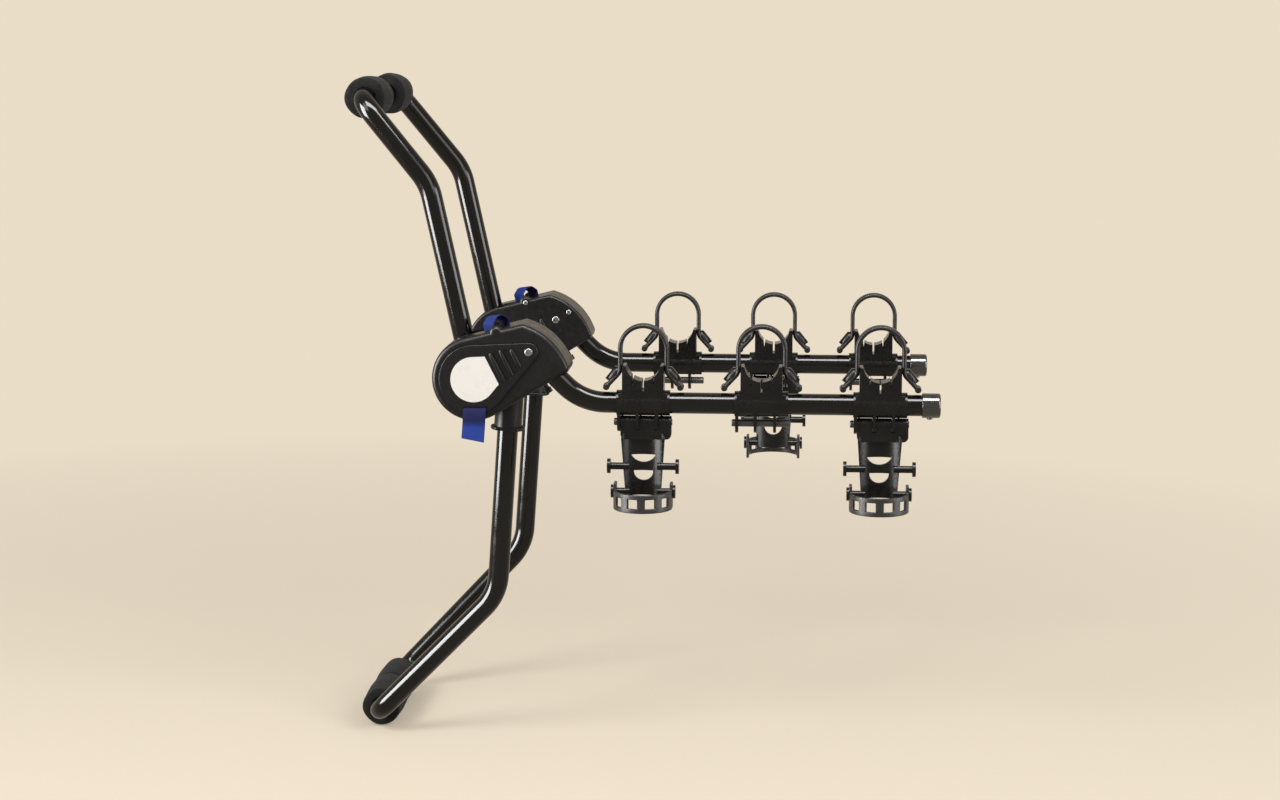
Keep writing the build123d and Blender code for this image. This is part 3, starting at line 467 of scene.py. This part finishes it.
weave = product(tree, waves(tree, cloth, 160, "X"), waves(tree, cloth, 210, "DIAGONAL"))
tint(tree, weave, shader.inputs["Base Color"], (0.007, 0.024, 0.22), (0.015, 0.08, 0.55), 0.1, 0.9)
dyed = shader.inputs["Base Color"].links[0].from_socket
travelled = tree.nodes.new("ShaderNodeSeparateXYZ")
tree.links.new(cloth, travelled.inputs[0])
# Painted shade: each band's first 20 mm from its start at the hub takes a dark blue, fading into
# the woven colour by 30 mm, for the shade at the slot and the fold.
shade = tree.nodes.new("ShaderNodeMix")
shade.data_type = "RGBA"
share, painted_shade_blue, blue_beyond = (shade.inputs[i] for i in (0, 6, 7))
painted_shade_blue.default_value = (0.004, 0.007, 0.075, 1)
shade_start, shade_end = 0.02, 0.03
spread(tree, travelled.outputs["Y"], share, 0, 1, shade_start, shade_end)
tree.links.new(dyed, blue_beyond)
tree.links.new(shade.outputs[2], shader.inputs["Base Color"])
raised(tree, weave, shader, 0.5, 0.0005)
shader.inputs["Sheen Weight"].default_value = 0.03
shader.inputs["Sheen Roughness"].default_value = 0.4


def band(path, across, width, thickness, end_slant=0.0):
    """A flat band of rounded section along a path, with both ends closed.

    A section point is p + u*across + v*normal, where (u, v) runs round a rectangle with
    half-round edges. Over the second half of the path it also moves on along the path,
    by up to end_slant*u, so the end is cut at a slant.
    """
    path, across = np.asarray(path, float), np.asarray(across, float)
    tangent = np.gradient(path, axis=0)
    tangent /= np.linalg.norm(tangent, axis=1)[:, None]
    normal = np.cross(tangent, across)
    a = np.linspace(-pi / 2, pi / 2, 7)
    half, t = width / 2 - thickness / 2, thickness / 2
    flat = np.linspace(-half, half, 9)[1:-1]
    u = np.concatenate([half + t * np.cos(a), flat[::-1], -half - t * np.cos(a), flat])
    level = np.full(len(flat), t)
    v = np.concatenate([t * np.sin(a), level, -t * np.sin(a), -level])
    points = path[:, None] + u[None, :, None] * across + v[None, :, None] * normal[:, None]
    run = np.linspace(0, 1, len(path))
    lean = end_slant * np.clip((run - 0.5) / 0.5, 0, 1)[:, None, None] * u[None, :, None]
    points = points + lean * tangent[:, None]
    ends = [np.repeat(points[[i]].mean(1, keepdims=True), len(u), 1) for i in (0, -1)]
    points = np.concatenate([ends[0], points, ends[1]])
    step = np.linalg.norm(np.diff(path, axis=0), axis=1)
    travel = np.concatenate([[0], np.cumsum(step)])
    travel = np.concatenate([travel[:1], travel, travel[-1:]])
    cloth_place = np.zeros(points.shape)
    cloth_place[..., 0] = u[None, :]
    cloth_place[..., 1] = travel[:, None]
    return points, grid_faces(len(points), len(u), False, True), cloth_place * mm, travel[-1]


# The loop stands square to the hub's sloping top edge, turned to face ahead a little.
loop_slope, loop_turn = radians(13.9), radians(42)
loop_foot, loop_plane = np.array((186.52, 0, -307.1)), 175
off_edge = np.array((-np.sin(loop_slope), 0, np.cos(loop_slope)))
along_edge = np.array((np.cos(loop_slope), 0, np.sin(loop_slope)))
sideways = np.cross(off_edge, along_edge)
loop_along = np.cos(loop_turn) * along_edge + np.sin(loop_turn) * sideways
loop_across = np.cross(off_edge, loop_along)
loop_shape = rounded_path(
    [(12.2, 0), (13, 8.5), (5, 16.2), (-4, 16.6), (-13, 9), (-12.2, 0)], (4, 8, 8, 4), 12,
)
# The tail's own line is (distance from the middle plane, drop below the badge's middle).
tail_marks = np.array([
    (209.8, 39), (212.4, 39.2), (214.6, 41), (215.8, 46), (216.0, 53),
    (214.9, 60), (215.2, 66), (217.0, 74), (218.6, 82),
])
tail_rows, tail_top_x, tail_end_x, tail_slant = 40, 160.5, 157, 0.18
marks = np.arange(len(tail_marks))
tail_steps = np.linspace(0, len(tail_marks) - 1, tail_rows)
tail_shape = np.stack([np.interp(tail_steps, marks, tail_marks[:, i]) for i in (0, 1)], 1)
for smoothing in range(3):
    tail_shape[1:-1] = (tail_shape[:-2] + 2 * tail_shape[1:-1] + tail_shape[2:]) / 4
tail_x = np.linspace(tail_top_x, tail_end_x, tail_rows)
for hand, side in (("left", -1), ("right", 1)):
    spine = loop_foot + loop_shape[:, :1] * loop_along + loop_shape[:, 1:] * off_edge
    spine = spine + np.array((0, side * loop_plane, 0))
    points, quads, cloth_place, length = band(spine, loop_across, 25, 1.8)
    loop = make_piece(
        hand + "_loop_webbing", [(points, quads)],
        "rack_frame", weave_blue, [hand + "_webbing_loop"], 60, cloth_place,
    )
    spine = np.stack([tail_x, side * tail_shape[:, 0], badge_z - tail_shape[:, 1]], 1)
    points, quads, cloth_place, length = band(spine, (1, 0, 0), 31, 1.6, tail_slant)
    tail = make_piece(
        hand + "_tail_webbing", [(points, quads)],
        "rack_frame", weave_blue, [hand + "_webbing_tail"], 60, cloth_place,
    )

# Release buttons: a gloss black plunger under each hub, pressed up with the thumb to
# let the arm fold down.
button_plastic, tree, shader, place = finish_of("gloss_button", (0.006, 0.006, 0.0065), 0.2, 0.22)
spread(tree, noise_of(tree, place, 250, 3), shader.inputs["Roughness"], 0.15, 0.3)
for hand in ("left", "right"):
    dress(hand + "_arm_release_button", button_plastic, 0.8)

# Arms: the same tube as the frames, bent once at 45 degrees below the pivot, then
# straight out for three bicycles. A gloss cap closes each end, held from below by a
# small domed rivet.
arm_plane, arm_level, arm_bend = 191.55, -405, 80
arm_root, arm_knee, arm_tip = (227.2, -329.5), (302.7, arm_level), (781, arm_level)
cap_end, rivet_x = 784.22, 770.2
cap_line = rounded_path(
    [(3.2, 0), (3.2, 14.35), (24.5, 14.35), (24.5, 16.6), (0, 16.6), (-0.4, 0)],
    (0.5, 0.4, 0.8, 3.0), 8,
)
rivet_line = rounded_path(
    [(11.1, 0), (11.1, 2.2), (16.6, 2.2), (16.6, 4.2), (18.6, 3.9), (19, 0)],
    (0.1, 0.05, 0.4, 1.6), 6,
)
cap_gloss, tree, shader, place = finish_of("gloss_cap", (0.012, 0.012, 0.0125), 0.14, 0.6)
spread(tree, noise_of(tree, place, 180, 4), shader.inputs["Roughness"], 0.1, 0.22)
for hand, side in (("left", -1), ("right", 1)):
    corners = [(x, side * arm_plane, z) for x, z in (arm_root, arm_knee, arm_tip)]
    arm_path = rounded_path(corners, (arm_bend,), 24)
    make_piece(
        hand + "_arm_pipe", [swept_tube(arm_path, tube_radius, tube_wall, (0, 1, 0))],
        hand + "_arm", tube_coat, [hand + "_arm_tube"],
    )
    cap_centre = (cap_end, side * arm_plane, arm_level)
    cap = turned(cap_line, cap_centre, (-1, 0, 0), (0, 1, 0), 72, False)
    make_piece(
        hand + "_cap_moulding", [cap],
        hand + "_arm", cap_gloss, [hand + "_arm_end_cap"],
    )
    rivet_centre = (rivet_x, side * arm_plane, arm_level)
    rivet = turned(rivet_line, rivet_centre, (0, 0, -1), (1, 0, 0), 32, False)
    make_piece(
        hand + "_cap_pin", [rivet], hand + "_arm", zinc, [hand + "_arm_cap_rivet"],
    )

# Cradles: a moulded sleeve slid on the arm, with a saddle for the bicycle's top tube.
# Its ears, notched teeth and strap hooks are one moulding in a smooth satin nylon, and
# a steel pin closes the lugs underneath.
cradle_plastic, tree, shader, place = finish_of(
    "satin_cradle_nylon", (0.005, 0.005, 0.0055), 0.26, 0.15,
)
clouds = noise_of(tree, place, 30, 4)
tint(tree, clouds, shader.inputs["Base Color"], (0.004, 0.004, 0.0045), (0.009, 0.009, 0.0095))
spread(tree, noise_of(tree, place, 260, 4), shader.inputs["Roughness"], 0.2, 0.32)
raised(tree, noise_of(tree, place, 900, 2), shader, 0.02, 0.0001)
# Each cradle is (x, side, whether an anti-sway cradle hangs from it).
cradle_places = {
    "left_first": (386.0, -1, True),
    "left_second": (545.0, -1, False),
    "left_third": (704.0, -1, True),
    "right_first": (412.0, 1, False),
    "right_second": (556.0, 1, True),
    "right_third": (704.5, 1, False),
}
for stem in cradle_places:
    dress(stem + "_cradle_body", cradle_plastic, 0.5)
    dress(stem + "_cradle_pin", core_steel, 0)

# Straps: moulded rubber arches that stretch over the bicycle's tube and hook on both
# ears, each end with a thick lug over the hook, a pull tail and a round knob. The
# rubber is matt with a faint bloom.
strap_rubber, tree, shader, place = finish_of("strap_rubber", (0.006, 0.006, 0.0065), 0.42, 0.2)
bloom = noise_of(tree, place, 70, 5)
tint(tree, bloom, shader.inputs["Base Color"], (0.006, 0.006, 0.0065), (0.013, 0.013, 0.0135))
spread(tree, noise_of(tree, place, 400, 4), shader.inputs["Roughness"], 0.34, 0.48)
raised(tree, noise_of(tree, place, 1800, 2), shader, 0.2, 0.0002)
strap_width, strap_thickness = 17, 6
arch_half, arch_foot, arch_top = 31.3, 42, 104.6
pull_reach, pull_level = 50, 22.0
lug_reach, lug_level = 39, -366.5
arch = rounded_path(
    [(-pull_reach, pull_level), (-arch_half, arch_foot), (-arch_half, arch_top),
     (arch_half, arch_top), (arch_half, arch_foot), (pull_reach, pull_level)],
    (12, 31.2, 31.2, 12), 22,
)
knob_line = rounded_path([(-8.5, 0), (-8.5, 4.5), (8.5, 4.5), (8.5, 0)], (1.6, 1.6), 8)
for stem, (x, side, sways) in cradle_places.items():
    y = side * arm_plane
    spine = np.stack([x + arch[:, 0], np.full(len(arch), y), arch[:, 1] + arm_level], 1)
    grids = [band(spine, (0, 1, 0), strap_width, strap_thickness)[:2]]
    for end, way in ((0, -1), (-1, 1)):
        grids.append(turned(knob_line, spine[end], (0, 1, 0), (1, 0, 0), 32, False))
        lug = (x + lug_reach * way, y, lug_level)
        grids.append(pebble(lug, (7.3 * way, 0, -9.4), (0, 8.4, 0), (4.6 * way, 0, 3.6)))
    make_piece(
        stem + "_rubber_strap", grids,
        stem + "_cradle", strap_rubber, [stem + "_cradle_strap"], 50,
    )

# Anti-sway cradles: they swing on the closing pin and hold the bicycle's seat tube.
# The trough is the same nylon as the saddles, and a grey rubber ladder belt bows
# outwards from its lower pegs.
belt_rubber, tree, shader, place = finish_of("belt_rubber", (0.016, 0.016, 0.017), 0.38, 0.3)
clouds = noise_of(tree, place, 60, 5)
tint(tree, clouds, shader.inputs["Base Color"], (0.012, 0.012, 0.013), (0.022, 0.022, 0.023))
spread(tree, noise_of(tree, place, 350, 4), shader.inputs["Roughness"], 0.32, 0.48)
raised(tree, noise_of(tree, place, 1500, 2), shader, 0.2, 0.0002)
belt_radius, bow_start, tab_inner = 38.0, 12.0, 6.0
window_angles = np.radians((-54.0, -18.0, 18.0, 54.0))
half_window = 6.5 / belt_radius
rung_angles = [-1.45, -1.33, -0.628, 0, 0.628, 1.33, 1.45]
belt_heights = np.array([-143, -139.5, -136.75, -130.5, -124.25, -121.2, -118, -109.0])
window_rows, tab_row = (2, 3), 6


def ladder_belt(x, side):
    """The belt's middle surface: up one tab, half a circle round, and down the other.

    A point at angle a of the bow is (R*sin(a), -start - R*cos(a)), and the tabs run on
    straight from its ends. Cells inside a window are left out of the grid, and the tabs
    stand a row higher than the bow.
    """
    starts, ends = window_angles - half_window, window_angles + half_window
    angles = np.sort(np.concatenate([
        starts, ends, (starts + ends) / 2, (-pi / 2, pi / 2), rung_angles,
    ]))
    tab = np.linspace(tab_inner, -bow_start, 4)[:-1]
    edge = np.full(len(tab), belt_radius)
    across = np.concatenate([-edge, belt_radius * np.sin(angles), edge])
    out = np.concatenate([tab, -bow_start - belt_radius * np.cos(angles), tab[::-1]])
    points = np.stack(np.broadcast_arrays(
        x + across[:, None], side * (arm_plane - out[:, None]), arm_level + belt_heights[None, :],
    ), -1)
    quads = grid_faces(len(across), len(belt_heights))
    column, row = np.meshgrid(
        np.arange(len(across) - 1), np.arange(len(belt_heights) - 1), indexing="ij",
    )
    no_angle = np.full(len(tab), np.inf)
    middle = np.concatenate([no_angle, (angles[1:] + angles[:-1]) / 2, no_angle])
    in_window = (np.abs(middle[:, None] - window_angles[None, :]) < half_window).any(1)
    hole = in_window[column] & np.isin(row, window_rows)
    over_bow = (row == tab_row) & np.isfinite(middle[column])
    return points, quads[~(hole | over_bow).reshape(-1)]


for stem, (x, side, sways) in cradle_places.items():
    if not sways:
        continue
    dress(stem + "_antisway_cradle", cradle_plastic, 0.6)
    points, quads = ladder_belt(x, side)
    belt = make_piece(
        stem + "_rubber_belt", [(points, quads)],
        stem + "_antisway", belt_rubber, [stem + "_antisway_belt"], 180,
    )
    wall = belt.modifiers.new("wall", "SOLIDIFY")
    wall.thickness = 4 * mm
    wall.offset = 0
    rims = belt.modifiers.new("rims", "BEVEL")
    rims.width = 0.9 * mm
    rims.segments = 3
    rims.angle_limit = radians(40)
    belt.modifiers.new("even", "WEIGHTED_NORMAL")

# Studio: a pale floor that glows ever more with distance, until it is one with the
# pale backdrop. Two soft lamps light it all, and three cards that only gloss reflects,
# left, right and overhead, draw the highlights along the tubes.
pale, black = (0.823, 0.723, 0.578), (0, 0, 0)
floor_reach, floor_drop = 40.0, 0.001
near_glow, full_glow, glow_start, glow_end = 0.32, 1, 0.9, 2.6
floor_level = cad_box[0][2] - floor_drop
floor_corners = [
    (x * floor_reach, y * floor_reach, floor_level) for x, y in ((-1, -1), (1, -1), (1, 1), (-1, 1))
]
floor_mesh = bpy.data.meshes.new("studio_floor")
floor_mesh.from_pydata(floor_corners, [], [(0, 1, 2, 3)])
floor = bpy.data.objects.new("studio_floor", floor_mesh)
bpy.context.scene.collection.objects.link(floor)
floor_paint, tree, shader, place = finish_of("pale_floor", pale, 0.9, 0.0)
floor_mesh.materials.append(floor_paint)
away = tree.nodes.new("ShaderNodeVectorMath")
away.operation = "LENGTH"
tree.links.new(place, away.inputs[0])
glow_socket = shader.inputs["Emission Strength"]
spread(tree, away.outputs["Value"], glow_socket, near_glow, full_glow, glow_start, glow_end)
glow = glow_socket.links[0].from_socket
tint(tree, glow, shader.inputs["Base Color"], pale, black, near_glow, full_glow)
shader.inputs["Emission Color"].default_value = (*pale, 1)

# The camera, gloss and clear materials see the pale backdrop. All else is lit by a
# weaker neutral fill.
world = bpy.data.worlds.new("studio")
bpy.context.scene.world = world
world.use_nodes = True
links, shaders = world.node_tree.links, world.node_tree.nodes
backdrop = shaders["Background"]
backdrop.inputs["Color"].default_value = (*pale, 1)
backdrop.inputs["Strength"].default_value = 1
fill = shaders.new("ShaderNodeBackground")
fill.inputs["Color"].default_value = (1, 0.98, 0.95, 1)
fill.inputs["Strength"].default_value = 0.3
rays = shaders.new("ShaderNodeLightPath")
seen = rays.outputs["Is Camera Ray"]
for ray_kind in ("Is Glossy Ray", "Is Transmission Ray"):
    either = shaders.new("ShaderNodeMath")
    either.operation = "MAXIMUM"
    links.new(seen, either.inputs[0])
    links.new(rays.outputs[ray_kind], either.inputs[1])
    seen = either.outputs[0]
choice = shaders.new("ShaderNodeMixShader")
links.new(seen, choice.inputs["Fac"])
links.new(fill.outputs[0], choice.inputs[1])
links.new(backdrop.outputs[0], choice.inputs[2])
links.new(choice.outputs[0], shaders["World Output"].inputs["Surface"])


def lamp(name, place, target, width, height, watts):
    """A rectangular area lamp at a place, turned to face a target."""
    light = bpy.data.lights.new(name, "AREA")
    light.shape = "RECTANGLE"
    light.size, light.size_y, light.energy = width, height, watts
    holder = bpy.data.objects.new(name, light)
    holder.location = place
    holder.rotation_euler = (Vector(target) - Vector(place)).to_track_quat("-Z", "Y").to_euler()
    bpy.context.scene.collection.objects.link(holder)
    return holder


rack_middle = (0.35, 0, -0.42)
lamp("key", (-1.6, -2.2, 1.6), rack_middle, 1.5, 1.5, 55)
lamp("fill", (2.4, -2.0, 1.2), rack_middle, 1.5, 1.5, 40)
for card in (
    lamp("card_left", (-2.1, -1.1, -0.3), rack_middle, 1.3, 2.4, 440),
    lamp("card_right", (2.9, -0.7, -0.3), rack_middle, 1.4, 2.4, 130),
    lamp("card_top", (0.5, -1.2, 2.0), rack_middle, 2.6, 0.9, 260),
):
    card.visible_diffuse = False

# Camera: at the photograph's place, a little above the hubs and looking slightly
# down and to the left along the rack.
lens = bpy.data.cameras.new("view")
lens.lens = 67.82
lens.sensor_width = 36
sight = Vector((-0.0679871, 0.98535316, -0.15638706))
eye = bpy.data.objects.new("view", lens)
eye.location = (0.6025, -3.3975, 0.1073)
eye.rotation_euler = sight.to_track_quat("-Z", "Y").to_euler()
bpy.context.scene.collection.objects.link(eye)
bpy.context.scene.camera = eye
bpy.context.scene.view_settings.view_transform = "Standard"
